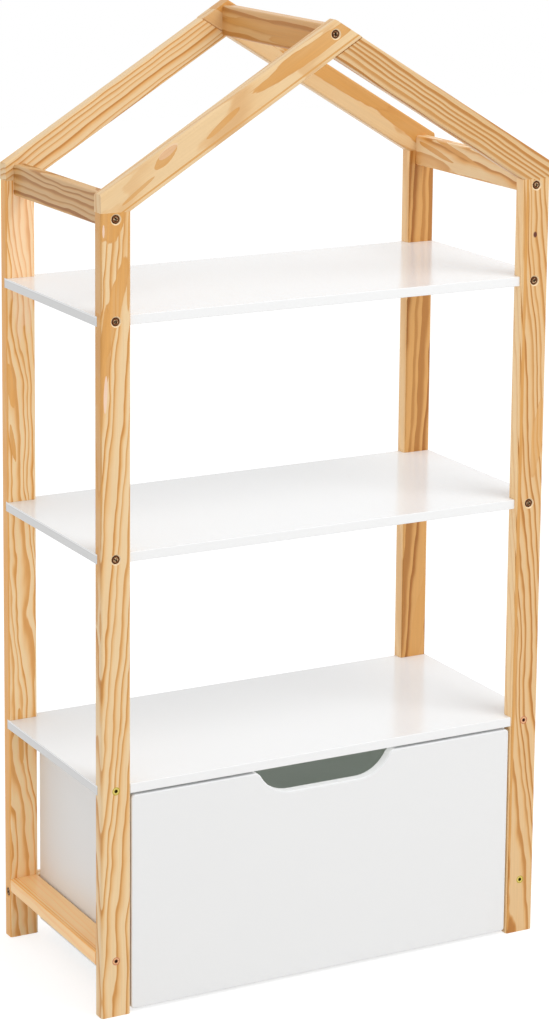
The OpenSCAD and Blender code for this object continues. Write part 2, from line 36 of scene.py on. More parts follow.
import bpy
from bpy.props import FloatProperty, FloatVectorProperty, PointerProperty
from mathutils import Euler, Vector

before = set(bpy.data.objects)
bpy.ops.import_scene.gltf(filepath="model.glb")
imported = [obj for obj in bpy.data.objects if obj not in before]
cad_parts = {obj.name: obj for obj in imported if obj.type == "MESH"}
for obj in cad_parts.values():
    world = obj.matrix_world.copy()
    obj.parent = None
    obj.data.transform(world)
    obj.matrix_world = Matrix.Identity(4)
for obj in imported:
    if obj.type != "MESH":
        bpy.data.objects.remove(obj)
CAD_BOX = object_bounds()

X, Y, Z = Vector((1, 0, 0)), Vector((0, 1, 0)), Vector((0, 0, 1))


def paint(r, g, b):
    """A colour as it looks on a screen, from 0 to 255, as linear light."""
    shares = [part / 255 for part in (r, g, b)]
    return tuple(share / 12.92 if share <= 0.04045 else ((share + 0.055) / 1.055) ** 2.4
                 for share in shares)


def colour(name, description, r, g, b):
    return FloatVectorProperty(name=name, description=description, subtype="COLOR", size=3,
                               min=0, max=1, default=paint(r, g, b))


def length(name, description, metres):
    return FloatProperty(name=name, description=description, subtype="DISTANCE", unit="LENGTH",
                         min=0, precision=4, default=metres)


class BookcaseColours(bpy.types.PropertyGroup):
    """Colours of the finishes"""

    pine_light: colour("Pine, early wood", "Pale wood between the rings", 241, 209, 161)
    pine_band: colour("Pine, late wood", "Golden wood that leads up to each ring", 231, 172, 95)
    pine_line: colour("Pine, ring line", "Line at the end of each ring in pale wood", 208, 142, 66)
    pine_dark: colour("Pine, dark line", "Line at the end of each ring in dense wood", 168, 104, 36)
    pine_heart: colour("Pine, heartwood", "Amber patches and older wood", 220, 160, 84)
    pine_scar: colour("Pine, scar", "Pinkish wood where the cutter lifted the grain", 247, 214, 190)
    # also the colour of the painted highlights in the dark screw heads
    pine_raw: colour("Pine, bare", "Unlacquered wood in the reamed screw seats", 255, 224, 180)
    knot: colour("Pin knot", "Core of a pin knot", 100, 44, 24)
    lacquer: colour("White lacquer", "Shelves and drawer", 248, 249, 250)
    # painted light: a faint glow on the drawer's inner faces, which are no lamp
    drawer_painted_glow: colour("Drawer inside", "Faint grey light inside the drawer", 53, 58, 51)
    # painted highlight: a glow on the lip under the finger scoop
    lip_painted_glow: colour("Scoop lip", "Light that the finger scoop's lip catches", 128, 128, 126)
    bronze: colour("Dark bronze", "Heads of the dark frame screws", 84, 48, 24)
    bronze_rim: colour("Worn bronze", "Rubbed rim of a dark screw's head", 156, 98, 54)
    brass: colour("Brass", "Heads of the yellow passivated screws", 204, 184, 78)
    brass_rim: colour("Worn brass", "Rubbed rim of a brass screw's head", 240, 222, 150)
    copper: colour("Copper tint", "Brass heads whose plating came out reddish", 214, 140, 112)
    socket: colour("Screw socket", "Shade inside a screw's socket", 34, 22, 14)
    zinc: colour("Zinc", "Castor brackets, axles and small screws", 196, 199, 202)
    rubber: colour("Rubber", "Castor wheels", 74, 75, 78)
    birch: colour("Birch", "Dowels", 226, 200, 158)
    floor: colour("Floor", "Studio floor", 232, 230, 227)


class BookcaseSizes(bpy.types.PropertyGroup):
    """Sizes that the finishes follow"""

    seat_radius: length("Screw seat", "Radius of the reamed seat round a dark screw", 0.0068)
    head_radius: length("Screw head", "Radius of a frame screw's head", 0.005)
    socket_radius: length("Screw socket", "Radius of the hexagonal socket", 0.0023)
    fibre: length("Fibre", "Width of the finest streaks in the pine", 0.0007)
    roof_pitch: FloatProperty(name="Roof pitch", description="Slope of the rafters",
                              subtype="ANGLE", unit="ROTATION", default=math.radians(31.4))


# ---------------------------------------------------------------- shader maths

class Wave:
    """A socket of a material, used in Python sums as if it were a number."""

    def __init__(self, finish, socket):
        self.finish, self.socket = finish, socket

    def maths(self, operation, *values):
        return self.finish.add("ShaderNodeMath", {"operation": operation}, dict(enumerate(values)))

    def __add__(self, other): return self.maths("ADD", self, other)
    def __radd__(self, other): return self.maths("ADD", other, self)
    def __sub__(self, other): return self.maths("SUBTRACT", self, other)
    def __rsub__(self, other): return self.maths("SUBTRACT", other, self)
    def __mul__(self, other): return self.maths("MULTIPLY", self, other)
    def __rmul__(self, other): return self.maths("MULTIPLY", other, self)
    def __truediv__(self, other): return self.maths("DIVIDE", self, other)
    def __pow__(self, other): return self.maths("POWER", self, other)
    def __abs__(self): return self.maths("ABSOLUTE", self)

    def fract(self): return self.maths("FRACT", self)
    def floor(self): return self.maths("FLOOR", self)
    def root(self): return self.maths("SQRT", self)
    def least(self, other): return self.maths("MINIMUM", self, other)
    def over(self, other): return self.maths("GREATER_THAN", self, other)
    def under(self, other): return self.maths("LESS_THAN", self, other)

    def ease(self, start, end):
        """0 below start and 1 above end, with a smooth rise between them."""
        return self.finish.add("ShaderNodeMapRange", {"interpolation_type": "SMOOTHSTEP"},
                               {"Value": self, "From Min": start, "From Max": end})

    def hump(self, start, full, fade, end):
        """1 between full and fade, with a smooth slope down to 0 at start and at end."""
        return self.ease(start, full) * (1 - self.ease(fade, end))


class Finish:
    """A procedural material on one Principled shader."""

    def __init__(self, name, **constants):
        self.material = bpy.data.materials.new(name)
        self.material.use_nodes = True
        self.tree = self.material.node_tree
        self.tree.nodes.clear()
        self.shader = self.tree.nodes.new("ShaderNodeBsdfPrincipled")
        output = self.tree.nodes.new("ShaderNodeOutputMaterial")
        self.tree.links.new(self.shader.outputs[0], output.inputs[0])
        for name, value in constants.items():
            socket = name.replace("_", " ").title().replace("Ior", "IOR")
            self.shader.inputs[socket].default_value = value
        self.where = self.add("ShaderNodeTexCoord", out="Object")

    def add(self, kind, settings=None, inputs=None, out=0):
        """One node: its type, its settings, the values or links of its sockets, and its output."""
        node = self.tree.nodes.new(kind)
        for key, value in (settings or {}).items():
            setattr(node, key, value)
        for key, value in (inputs or {}).items():
            socket = node.inputs[key] if isinstance(key, int) else next(
                s for s in node.inputs if s.enabled and key in (s.identifier, s.name))
            if isinstance(value, Wave):
                self.tree.links.new(value.socket, socket)
            elif socket.type == "RGBA" and len(value) == 3:
                socket.default_value = (*value, 1)
            else:
                socket.default_value = value
        return Wave(self, node.outputs[out])

    def along(self, axis, origin=(0, 0, 0)):
        """Distance from origin along an axis, in metres."""
        shift = self.add("ShaderNodeVectorMath", {"operation": "SUBTRACT"},
                         {0: self.where, 1: origin})
        return self.add("ShaderNodeVectorMath", {"operation": "DOT_PRODUCT"},
                        {0: shift, 1: axis}, "Value")

    def vector(self, x, y, z):
        return self.add("ShaderNodeCombineXYZ", None, {0: x, 1: y, 2: z})

    def split(self, vector):
        """The three numbers of a vector or of a colour."""
        parts = self.add("ShaderNodeSeparateXYZ", None, {0: vector}).socket.node.outputs
        return [Wave(self, part) for part in parts]

    def noise(self, vector, scale=1.0, detail=2.0, out=0):
        return self.add("ShaderNodeTexNoise", None,
                        {"Vector": vector, "Scale": scale, "Detail": detail, "Roughness": 0.5}, out)

    def blend(self, share, first, second):
        """First colour turning into the second as share goes from 0 to 1."""
        return self.add("ShaderNodeMix", {"data_type": "RGBA"},
                        {"Factor_Float": share, "A_Color": first, "B_Color": second}, 2)

    def brighten(self, tone, amount):
        return self.add("ShaderNodeVectorMath", {"operation": "SCALE"}, {0: tone, "Scale": amount})

    def nearest(self, centres, axis, mirrored=False):
        """Distance from the nearest of the centres, looking along an axis, in metres.

        mirrored makes each centre stand for the like ones on the object's other sides too.
        """
        sides = [side for side in (X, Y, Z) if side != axis]
        places = [abs(self.along(side)) if mirrored else self.along(side) for side in sides]
        nearest = None
        for centre in centres:
            p, q = (place - centre.dot(side) for place, side in zip(places, sides))
            away = (p * p + q * q).root()
            nearest = away if nearest is None else nearest.least(away)
        return nearest

    def bump(self, height, distance, strength):
        return self.add("ShaderNodeBump", None,
                        {"Height": height, "Distance": distance, "Strength": strength})

    def feed(self, **waves):
        """Links what changes over the surface to the shader's own sockets."""
        for socket, wave in waves.items():
            self.tree.links.new(wave.socket, self.shader.inputs[socket.replace("_", " ").title()])
        return self.material


# ---------------------------------------------------------------- pine

# Features per metre of the noises in the pine, along a bar and across it
WAVER_ALONG, WAVER_ACROSS = 6.5, 20
CLOUD_ALONG, CLOUD_ACROSS = 9, 36
RAGGED_ALONG, RAGGED_ACROSS = 16, 120
FIBRE_ALONG = 14
YEARS_ACROSS = 70

# Places within one ring: where the late wood and its dark line start, are full, and fade
LATE_START, LATE_FULL, LATE_FADE = 0.3, 0.85, 0.95
LINE_START, LINE_FULL, LINE_FADE = 0.66, 0.88, 0.93

# A knot pushes the rings aside: how far along and across, and how deep, in radii of the knot
KNOT_LONG, KNOT_WIDE, KNOT_PUSH = 9, 4, 1.2

WAVER_SHIFT = (3.1, 7.7, -5.3)      # how far a bar's seed moves its waver, in features
YEARS_SPREAD = 1.6                  # how far the years run ahead or behind, in rings
PLAIN_CALM, PLAIN_PALE = 0.8, 0.6   # shares of the rings and of the tint that a plain strip loses
PLAIN_PAINTED_LIGHT = 0.2                   # how much brighter a plain strip is: painted light on a post's inner side face
CLOUD_SHARE = 0.22                  # most gold that a cloud adds between the rings
PATCH_FRAY, PATCH_WAVER = 1.5, 1.2  # how much fine and slow noise bends a patch's outline
SCAR_FRAY = 1.6                     # how ragged a scar's outline is
PATCH_RIM = (-0.02, 0.05, 0.06, 0.3)    # where a patch's darker outline runs, from its edge inwards
RIM_SHARE = 0.45                    # how dark that outline is
PATCH_HIDES = 0.6                   # share of the dark lines that a patch hides
FIBRE_LIGHT = 0.14                  # how much the fibres differ in brightness
PINE_SHEEN = 0.34                   # roughness where the lacquer is glossiest
PINE_BUMP = 0.00012                 # height of the grain, in metres
SEAT_FLOOR_Y = 0.1428               # the floors of the reamed seats lie just outside this


class Bar:
    """How one bar of pine was cut: its place in the log and what shows on its faces.

    along and across are the bar's axes; pith is the log's centre from the bar's own centre,
    across and through the bar; lean is how far the pith drifts in each of them per metre. ring is
    the width of a year's growth, and wander is how far its line strays. depth, bold and dark are
    how strong, how wide and how dark the late wood is, and it stays pale where the bar's place
    across is below plain; that plain strip is also brightened as painted light. tint is the share
    of amber in all of the bar, and shade its brightness: partly the wood's own tone, and partly
    painted light that lifts bars lying in shade.
    Each amber patch and each scar is an oval: middle along and across, half length, half width,
    lean, and strength. Each knot is its place along and across, and its radius. seats are the
    middles of the reamed screw seats in its front and back.
    """

    def __init__(self, node, along, across, pith, lean, ring, wander, seed,
                 depth=0.8, bold=0.0, dark=0.3, plain=-1.0, tint=0.0, shade=1.0,
                 patches=(), scars=(), knots=(), seats=()):
        low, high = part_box(node)
        self.node, self.centre = node, (low + high) / 2
        self.along, self.across = along.normalized(), across.normalized()
        self.through = self.along.cross(self.across)
        self.pith, self.lean, self.ring, self.wander, self.seed = pith, lean, ring, wander, seed
        self.depth, self.bold, self.dark, self.plain = depth, bold, dark, plain
        self.tint, self.shade = tint, shade
        self.patches, self.scars, self.knots, self.seats = patches, scars, knots, seats


def oval(s, u, middle_s, middle_u, half_length, half_width, lean):
    """1 in the middle of a slender oval on a bar's face, 0 on its outline."""
    p = (s - middle_s) / half_length
    q = (u - middle_u - (s - middle_s) * lean) / half_width
    return 1 - p * p - q * q


def log_radius(bar, s, u, v, waver_u, waver_v):
    """Distance from the middle of the log, with the rings' waver and their swerve round knots."""
    a = u - bar.pith[0] - s * bar.lean[0] + waver_u * (2 * bar.wander)
    b = v - bar.pith[1] - s * bar.lean[1] + waver_v * (2 * bar.wander)
    for knot_s, knot_u, knot_r in bar.knots:
        ds, du = (s - knot_s) / (knot_r * KNOT_LONG), (u - knot_u) / (knot_r * KNOT_WIDE)
        a = a + (ds * ds + du * du + 1) ** -1.5 * (knot_r * KNOT_PUSH)
    return (a * a + b * b).root()


def pine(bar, colours, sizes):
    """Clear lacquered pine whose rings are cut from the log as the bar was."""
    f = Finish("pine_" + bar.node, specular_ior_level=0.4, coat_weight=0.12, coat_roughness=0.15)
    s = f.along(bar.along, bar.centre)
    u = f.along(bar.across, bar.centre)
    v = f.along(bar.through, bar.centre)

    shift = [bar.seed * step for step in WAVER_SHIFT]
    place = f.vector(s * WAVER_ALONG + shift[0], u * WAVER_ACROSS + shift[1],
                     v * WAVER_ACROSS + shift[2])
    waver = f.split(f.noise(place, detail=3.0, out="Color"))
    waver_u, waver_v = waver[0] - 0.5, waver[1] - 0.5
    radius = log_radius(bar, s, u, v, waver_u, waver_v)

    spread = f.noise(f.vector(radius * YEARS_ACROSS, bar.seed, 0.0), detail=0.0)
    years = radius * (1 / bar.ring) + spread * YEARS_SPREAD + bar.seed
    ring = years.fract()
    chance = f.add("ShaderNodeTexWhiteNoise", {"noise_dimensions": "1D"}, {"W": years.floor()})
    plain = u.under(bar.plain)
    strength = (1 - plain * PLAIN_CALM) * bar.depth
    late = ring.hump(LATE_START, LATE_FULL, LATE_FADE, 1.0)
    late = late * (chance * 0.4 + 0.6) * strength
    line = ring.hump(LINE_START - bar.bold, LINE_FULL - bar.bold * 0.5, LINE_FADE, 1.0)
    line = line * (chance * 0.55 + 0.45) * strength

    early = f.blend((1 - plain * PLAIN_PALE) * bar.tint, colours.pine_light, colours.pine_heart)
    cloud = f.noise(f.vector(s * CLOUD_ALONG + bar.seed, u * CLOUD_ACROSS, v * CLOUD_ACROSS))
    tone = f.blend(cloud.ease(0.5, 0.8) * CLOUD_SHARE, early, colours.pine_band)
    ragged = f.noise(f.vector(s * RAGGED_ALONG, u * RAGGED_ACROSS + bar.seed, v * RAGGED_ACROSS),
                     detail=4.0) - 0.5
    for *outline, amount in bar.patches:
        inside = oval(s, u, *outline) + ragged * PATCH_FRAY + waver_u * PATCH_WAVER
        amber = inside.ease(0.0, 0.12) * (cloud * 0.9 + 0.55) * amount
        tone = f.blend(amber, tone, colours.pine_heart)
        tone = f.blend(inside.hump(*PATCH_RIM) * (amount * RIM_SHARE), tone, colours.pine_line)
        line = line * (1 - inside.ease(0.0, 0.1) * PATCH_HIDES)
    tone = f.blend(late, tone, colours.pine_band)
    tone = f.blend(line, tone, f.blend(bar.dark, colours.pine_line, colours.pine_dark))
    for *outline, amount in bar.scars:
        inside = oval(s, u, *outline) + ragged * SCAR_FRAY
        tone = f.blend(inside.ease(0.0, 0.1) * amount, tone, colours.pine_scar)

    fibre_across = 0.5 / sizes.fibre
    fibres = f.noise(f.vector(s * FIBRE_ALONG, u * fibre_across, v * fibre_across), detail=1.0)
    # painted light: the plain strip is brightened, and shade above 1 lifts a bar lying in shade
    tone = f.brighten(tone, (fibres - 0.5) * FIBRE_LIGHT + plain * PLAIN_PAINTED_LIGHT + bar.shade)
    for knot_s, knot_u, knot_r in bar.knots:
        away = ((s - knot_s) * (s - knot_s) * 0.5 + (u - knot_u) * (u - knot_u)).root()
        tone = f.blend(1 - away.ease(knot_r * 0.7, knot_r * 1.3), tone, colours.knot)
    if bar.seats:
        in_seat = f.nearest(bar.seats, Y).under(sizes.seat_radius)
        tone = f.blend(in_seat * abs(f.along(Y)).over(SEAT_FLOOR_Y), tone, colours.pine_raw)

    return f.feed(base_color=tone, roughness=fibres * 0.12 + late * 0.08 + PINE_SHEEN,
                  normal=f.bump(fibres * 0.6 + late * 0.4, PINE_BUMP, 0.5))


# ---------------------------------------------------------------- other finishes

# Features per metre of each finish's noises, and the heights of their bumps in metres
SPRAY_RIPPLE, SPRAY_CLOUD, SPRAY_BUMP = 420, 5, 0.00003
SCREW_GRAIN, SCREW_GLINT, SCREW_BUMP = 1100, 520, 0.00002
ZINC_CLOUD, ZINC_SPECK, ZINC_BUMP = 130, 1500, 0.00002
RUBBER_SCUFF, RUBBER_BUMP = 700, 0.00004
BIRCH_FLECK = 900

END_PAINTED_SHADE = 0.2                           # how much darker a shelf's sawn end faces are: painted shade
TREAD_START, TREAD_FULL = 0.0095, 0.0112  # radii between which a wheel's body turns into its tread


def dim(tone, share):
    """A colour with only a share of its light."""
    return tuple(part * share for part in tone)


def white_lacquer(name, colours, sheen, shade=1.0, painted_shade_ends=None, glow=None, lit=None):
    """Sprayed white lacquer on fibreboard, with the faint ripple that a spray leaves.

    sheen is the roughness where it is glossiest. The end mask marks where the board is darkened as
    painted shade. glow is a faint glow of painted light, though the board is no lamp, where the
    mask lit is 1.
    """
    f = Finish(name, specular_ior_level=0.35, emission_strength=1.0 if glow else 0.0)
    if painted_shade_ends:
        # painted shade: the masked faces come out darker than the rest of the board
        shade = shade - painted_shade_ends(f) * END_PAINTED_SHADE
    ripple = f.noise(f.where, SPRAY_RIPPLE)
    cloud = f.noise(f.where, SPRAY_CLOUD)
    tone = f.brighten(f.blend(cloud * 0.5, colours.lacquer, dim(colours.lacquer, 0.985)),
                      (ripple - 0.5) * 0.01 + shade)
    # painted light: the board glows where the mask lit is 1, though it is no lamp
    if glow:
        f.feed(emission_color=f.brighten(glow, lit(f)))
    return f.feed(base_color=tone, roughness=cloud * 0.06 + sheen,
                  normal=f.bump(ripple, SPRAY_BUMP, 0.4))


def screw_metal(name, tone, rim, colours, sizes, centres, axis, metallic, glint=0.0, reddish=None):
    """Screw head with a rubbed rim, a painted shadow round its edge and painted shade in its
    socket, round each of its centres.

    glint is how bright the painted highlights in the head are. reddish picks the heads, by a mask,
    whose plating came out coppery.
    """
    f = Finish(name, metallic=metallic, specular_ior_level=0.25)
    away = f.nearest(centres, axis, mirrored=True)
    grain = f.noise(f.where, SCREW_GRAIN)
    head, socket = sizes.head_radius, sizes.socket_radius
    if reddish:
        tone = f.blend(reddish(f), tone, colours.copper)
    worn = away.hump(socket, head * 0.6, head * 0.7, head * 0.86)
    # painted highlights: bright specks in the middle of the head
    painted_glints = f.noise(f.where, SCREW_GLINT, 1.0).ease(0.50, 0.56)
    painted_glints = painted_glints * (1 - away.ease(head * 0.45, head * 0.7))
    shade = f.blend(worn * (grain.ease(0.3, 0.7) * 0.5 + 0.15), tone, rim)
    # painted shadow in the gap round the head's edge
    shade = f.blend(away.ease(head * 0.84, head * 0.94) * 0.2, shade, colours.socket)
    # painted shade inside the socket
    shade = f.blend((1 - away.ease(socket * 0.85, socket * 1.05)) * 0.9, shade, colours.socket)
    # painted highlights, in the colour of bare pine
    shade = f.blend(painted_glints * glint, shade, colours.pine_raw)
    return f.feed(base_color=f.brighten(shade, grain * 0.3 + 0.85), roughness=grain * 0.3 + 0.35,
                  normal=f.bump(grain, SCREW_BUMP, 0.3))


def zinc_steel(name, colours):
    """Zinc-plated steel with the soft cloudy grain of barrel plating."""
    f = Finish(name, metallic=1.0)
    cloud, speck = f.noise(f.where, ZINC_CLOUD, 3.0), f.noise(f.where, ZINC_SPECK)
    tone = f.brighten(f.blend(cloud.ease(0.35, 0.7), colours.zinc, dim(colours.zinc, 0.8)),
                      speck * 0.16 + 0.92)
    return f.feed(base_color=tone, roughness=cloud * 0.2 + speck * 0.1 + 0.22,
                  normal=f.bump(speck, ZINC_BUMP, 0.3))


def wheel_rubber(name, colours, centre):
    """Moulded castor wheel: a darker, scuffed tread round a smoother body."""
    f = Finish(name, specular_ior_level=0.35)
    tread = f.nearest([centre], X).ease(TREAD_START, TREAD_FULL)
    scuff = f.noise(f.where, RUBBER_SCUFF, 3.0)
    tone = f.blend(tread * (scuff.ease(0.4, 0.7) * 0.5 + 0.3),
                   colours.rubber, dim(colours.rubber, 0.55))
    return f.feed(base_color=tone, roughness=scuff * 0.2 + tread * 0.12 + 0.42,
                  normal=f.bump(scuff, RUBBER_BUMP, 0.4))


def birch_dowel(name, colours):
    """Birch dowel with its fine flecks."""
    f = Finish(name)
    fleck = f.noise(f.where, BIRCH_FLECK, 3.0)
    tone = f.blend(fleck.ease(0.4, 0.7) * 0.4, colours.birch, dim(colours.birch, 0.8))
    return f.feed(base_color=tone, roughness=fleck * 0.2 + 0.55)


# ---------------------------------------------------------------- the bookcase

# Places of the frame screws: the middle of a post, and heights of the reamed and the flush heads
POST_MID_X = 0.2905
EAVES_SEAT, TOP_SEAT, MIDDLE_SEAT, RIDGE_SEAT = 0.982, 0.861, 0.574, 1.1836
LOWER_SCREW, RAIL_SCREW = 0.287, 0.071
CROSS_SCREW = Vector((0, 0.136, 0.0595))

END_TOP = 0.0022          # how far under a shelf's top the painted shade on its sawn end faces starts, leaving a light strip along the top edge as a painted highlight
END_DEPTH = 0.0008        # how far in from a shelf's end that mask reaches
FACE_REACH = 0.0002       # how far past a drawer face its mask reaches
LIP_START = 0.0012        # where the lip under the scoop begins, behind the drawer's front face
SCOOP_HALF, SCOOP_LOW = 0.1005, 0.245     # half width of the scoop, and a height below its lip

# Roughness of the lacquer on each kind of board, and how bright the drawer's is beside the
# shelves': the same lacquer, darkened as painted shade
SHELF_SHEEN, FRONT_SHEEN, BOX_SHEEN = 0.15, 0.36, 0.4
DRAWER_PAINTED_SHADE = 0.95


def dress(node, material):
    """Gives a CAD node its finish."""
    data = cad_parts[node].data
    data.materials.clear()
    data.materials.append(material)


def settings(context):
    return context.scene.bookcase_colours, context.scene.bookcase_sizes


def dress_bars(context, bars):
    colours, sizes = settings(context)
    for bar in bars:
        dress(bar.node, pine(bar, colours, sizes))


def on_post(side, *heights):
    """Middles of the screws in the left (-1) or right (1) posts."""
    return [Vector((side * POST_MID_X, 0, height)) for height in heights]


class BOOKCASE_OT_posts(bpy.types.Operator):
    """Finish the four posts in clear pine"""

    bl_idname = "bookcase.posts"
    bl_label = "Posts"

    def execute(self, context):
        left, right = (on_post(side, EAVES_SEAT, TOP_SEAT, MIDDLE_SEAT) for side in (-1, 1))
        dress_bars(context, [
            Bar("front_left_post", Z, X, (0.074, 0.030), (0.080, 0.0), ring=0.0080, wander=0.011,
                patches=((0.492, -0.006, 0.034, 0.0160, 0.16, 0.85),
                         (0.376, -0.004, 0.066, 0.0105, 0.26, 0.85),
                         (0.325, -0.0150, 0.060, 0.0075, 0.05, 0.8),
                         (0.455, 0.0185, 0.080, 0.0035, 0.03, 0.8),
                         # this strip darkens the post's left side face: painted shade on the side
                         # turned from the light
                         (0.34, -0.0228, 0.50, 0.0050, 0.0, 0.75)),
                scars=((0.280, -0.0135, 0.024, 0.0026, 0.05, 0.9),
                       (0.474, -0.0160, 0.008, 0.0014, 0.0, 0.9)),
                seats=left, depth=1.0, dark=0.15, seed=1.0),
            Bar("front_right_post", Z, X, (-0.070, 0.042), (-0.092, 0.0), ring=0.0066, wander=0.009,
                patches=((0.165, 0.010, 0.050, 0.008, 0.10, 0.5),
                         (0.1, -0.0150, 0.6, 0.0022, 0.004, 0.95)),
                knots=((0.4247, -0.0007, 0.0026), (0.160, 0.029, 0.0068)), seats=right, depth=1.2,
                # plain also brightens this post's inner side face as painted light
                bold=0.12, dark=0.45, plain=-0.0185, tint=0.30, shade=0.98, seed=2.0),
            Bar("back_left_post", Z, X, (-0.056, 0.034), (-0.07, 0.0), ring=0.0066, wander=0.015,
                patches=((0.235, -0.015, 0.030, 0.004, -0.10, 0.9),
                         (0.160, -0.012, 0.026, 0.0035, -0.12, 0.9),
                         (-0.225, -0.004, 0.038, 0.0035, -0.05, 0.9),
                         # this strip darkens the post's left side face: painted shade on the side
                         # turned from the light
                         (0.0, -0.0228, 9.0, 0.0048, 0.0, 0.95)),
                scars=((0.400, 0.002, 0.110, 0.0170, 0.0, 0.25),), seats=left, depth=0.95,
                # shade=1.20 lifts this post as painted light against the shade it lies in
                bold=0.06, dark=0.0, shade=1.20, seed=3.0),
            Bar("back_right_post", Z, X, (0.050, 0.034), (0.06, 0.0), ring=0.0104, wander=0.010,
                patches=((-0.16, 0.008, 0.08, 0.010, 0.20, 0.5),), seats=right, depth=1.2,
                # plain also brightens this post's inner side face as painted light
                bold=0.38, dark=0.95, plain=-0.0185, tint=0.90, shade=0.99, seed=4.0),
        ])
        return {"FINISHED"}


class BOOKCASE_OT_roof(bpy.types.Operator):
    """Finish the rafters and the ridge beam in clear pine"""

    bl_idname = "bookcase.roof"
    bl_label = "Roof"

    def execute(self, context):
        pitch = context.scene.bookcase_sizes.roof_pitch
        up_right = Vector((math.cos(pitch), 0, math.sin(pitch)))
        up_left = Vector((-math.cos(pitch), 0, math.sin(pitch)))
        square_left = Vector((-math.sin(pitch), 0, math.cos(pitch)))
        square_right = Vector((math.sin(pitch), 0, math.cos(pitch)))
        ridge = [Vector((0, 0, RIDGE_SEAT))]
        dress_bars(context, [
            Bar("front_left_rafter", up_right, square_left, (-0.006, -0.110), (0.0, 0.06),
                ring=0.0100, wander=0.006, depth=0.32, tint=0.06, shade=0.98,
                patches=((0.110, 0.006, 0.085, 0.0105, -0.02, 0.95),
                         (-0.014, 0.000, 0.028, 0.0038, 0.13, 0.9),
                         (-0.100, 0.0085, 0.017, 0.0066, 0.18, 0.9),
                         (-0.150, -0.005, 0.030, 0.0026, 0.10, 0.7),
                         (-0.05, -0.0140, 0.40, 0.0012, 0.0, 0.9)),
                scars=((-0.094, 0.0130, 0.014, 0.0048, 0.10, 0.35),), seats=ridge, seed=5.0),
            Bar("front_right_rafter", up_left, square_right, (-0.095, 0.020), (0.012, 0.0),
                ring=0.0062, wander=0.006, depth=1.35, bold=0.33, dark=0.3, tint=0.26, shade=0.90,
                seed=6.0),
            Bar("back_left_rafter", up_right, square_left, (-0.090, 0.020), (0.01, 0.0),
                ring=0.0072, wander=0.006, depth=1.1, tint=0.05, seed=7.0),
            Bar("back_right_rafter", up_left, square_right, (-0.012, 0.080), (0.02, 0.03),
                ring=0.014, wander=0.009, depth=0.5, tint=0.2, shade=0.95, seats=ridge, seed=8.0,
                patches=((0.150, 0.013, 0.110, 0.013, -0.03, 0.95),
                         (-0.030, 0.010, 0.110, 0.013, -0.06, 0.95),
                         (-0.200, 0.012, 0.100, 0.016, -0.04, 0.95))),
            Bar("ridge_beam", Y, Z, (-0.060, 0.020), (0.02, 0.0), ring=0.0130, wander=0.008,
                depth=1.0, bold=0.3, dark=0.4, tint=0.7, shade=0.94, seed=9.0,
                patches=((-0.03, 0.001, 0.18, 0.007, 0.02, 0.9),
                         (-0.08, -0.011, 0.09, 0.006, 0.0, 1.0))),
        ])
        return {"FINISHED"}


class BOOKCASE_OT_rails(bpy.types.Operator):
    """Finish the eaves rails, the bottom rails and the cross rail in clear pine"""

    bl_idname = "bookcase.rails"
    bl_label = "Rails"

    def execute(self, context):
        dress_bars(context, [
            Bar("left_eaves_rail", Y, Z, (-0.070, 0.025), (0.03, 0.0), ring=0.0072, wander=0.010,
                depth=1.25, bold=0.16, dark=0.8, tint=0.5, shade=0.86, seed=10.0),
            Bar("right_eaves_rail", Y, Z, (-0.030, 0.050), (0.14, 0.0), ring=0.0085, wander=0.008,
                depth=1.15, tint=0.05, shade=1.07, seed=11.0,
                patches=((0.078, 0.004, 0.040, 0.0036, 0.20, 1.0),
                         (0.030, 0.011, 0.050, 0.0036, 0.20, 1.0))),
            Bar("left_bottom_rail", Y, X, (0.060, -0.050), (0.03, 0.0), ring=0.0080, wander=0.004,
                # shade=1.34 lifts this rail as painted light against the shade it lies in
                depth=0.25, dark=0.0, tint=0.36, shade=1.34, seed=12.0,
                patches=((0.0, -0.0182, 5.0, 0.0008, 0.0, 1.0),
                         (0.0, -0.0152, 5.0, 0.0012, 0.004, 1.0),
                         (0.0, -0.0112, 5.0, 0.0008, 0.010, 0.7))),
            Bar("right_bottom_rail", Y, X, (-0.060, -0.050), (0.03, 0.0), ring=0.0064, wander=0.004,
                depth=0.8, tint=0.2, seed=13.0),
            Bar("back_cross_rail", X, Z, (-0.020, 0.050), (0.03, 0.0), ring=0.0062, wander=0.006,
                seed=14.0),
        ])
        return {"FINISHED"}


class BOOKCASE_OT_shelves(bpy.types.Operator):
    """Finish the three shelves in white lacquer"""

    bl_idname = "bookcase.shelves"
    bl_label = "Shelves"

    def execute(self, context):
        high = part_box("top_shelf")[1]
        step = high.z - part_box("middle_shelf")[1].z

        def painted_shade_ends(f):
            """Painted shade on the sawn end faces to the left and right, below a strip along the
            top edge that is left light as a painted highlight.
            """
            under_top = ((f.along(Z) - (high.z - END_TOP)) / step).fract().over(0.5)
            return abs(f.along(X)).over(high.x - END_DEPTH) * under_top

        lacquer = white_lacquer("shelf_lacquer", settings(context)[0], SHELF_SHEEN, painted_shade_ends=painted_shade_ends)
        for node in ("top_shelf", "middle_shelf", "lower_shelf"):
            dress(node, lacquer)
        return {"FINISHED"}


